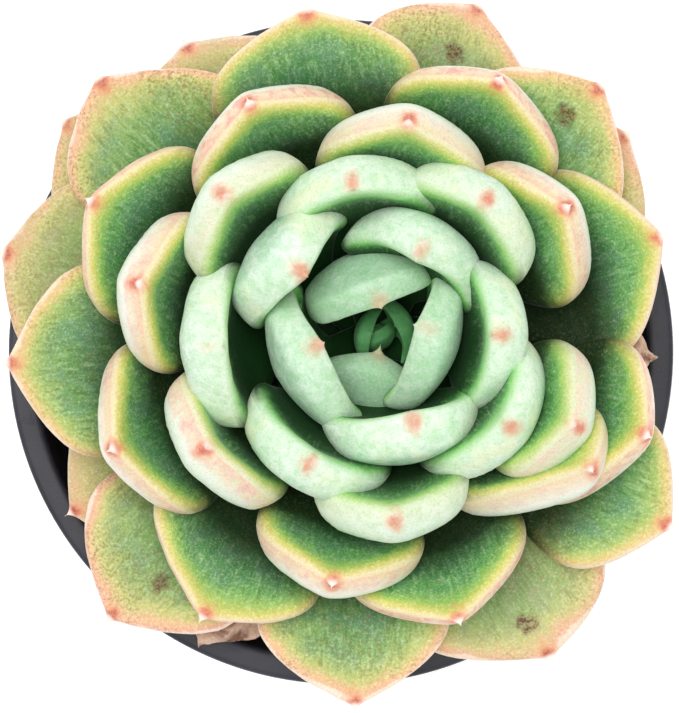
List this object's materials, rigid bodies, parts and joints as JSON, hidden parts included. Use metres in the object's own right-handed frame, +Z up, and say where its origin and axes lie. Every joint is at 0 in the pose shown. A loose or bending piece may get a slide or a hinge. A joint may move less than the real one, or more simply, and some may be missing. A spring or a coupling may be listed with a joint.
{
  "type": "potted succulent plant",
  "caption": "Rosette succulent with thick red-tipped leaves on a short stem, growing in potting mix in a round plastic nursery pot with a turned-over rim.",
  "frame": {"origin": "centre of the pot's flat underside, where the pot stands", "axes": "+Z up along the pot's axis. +X and +Y lie in the plane of the underside; seen from above, the leaf called leaf_32 points towards -X and the leaf called leaf_34 towards -Y."},
  "size_m": [0.1028, 0.1062, 0.1164],
  "materials": {
    "pot": "satin",
    "potting_mix": "matte",
    "stem": "matte",
    "leaf_young": "matte",
    "leaf_grown": "satin",
    "leaf_old": "satin",
    "leaf_withered": "matte"
  },
  "bodies": {
    "root": {"pot": "pot", "potting_mix": "potting_mix", "stem": "stem", "bud": "leaf_young", "leaf_00": "leaf_young", "leaf_01": "leaf_young", "leaf_02": "leaf_young", "leaf_03": "leaf_young", "leaf_04": "leaf_young", "leaf_05": "leaf_young", "leaf_06": "leaf_young", "leaf_07": "leaf_young", "leaf_08": "leaf_young", "leaf_09": "leaf_young", "leaf_10": "leaf_young", "leaf_11": "leaf_young", "leaf_12": "leaf_young", "leaf_13": "leaf_young", "leaf_14": "leaf_young", "leaf_15": "leaf_grown", "leaf_16": "leaf_grown", "leaf_17": "leaf_grown", "leaf_18": "leaf_grown", "leaf_19": "leaf_grown", "leaf_20": "leaf_grown", "leaf_21": "leaf_grown", "leaf_22": "leaf_grown", "leaf_23": "leaf_grown", "leaf_24": "leaf_grown", "leaf_25": "leaf_grown", "leaf_26": "leaf_grown", "leaf_27": "leaf_grown", "leaf_28": "leaf_grown", "leaf_29": "leaf_grown", "leaf_30": "leaf_grown", "leaf_31": "leaf_old", "leaf_32": "leaf_old", "leaf_33": "leaf_old", "leaf_34": "leaf_old", "leaf_35": "leaf_old", "leaf_36": "leaf_withered", "leaf_37": "leaf_old", "leaf_38": "leaf_old", "leaf_39": "leaf_old", "leaf_40": "leaf_old", "leaf_41": "leaf_old", "leaf_42": "leaf_withered", "leaf_43": "leaf_old", "leaf_44": "leaf_old", "leaf_45": "leaf_old", "leaf_46": "leaf_old", "leaf_47": "leaf_old", "leaf_48": "leaf_old"}
  },
  "joints": []
}
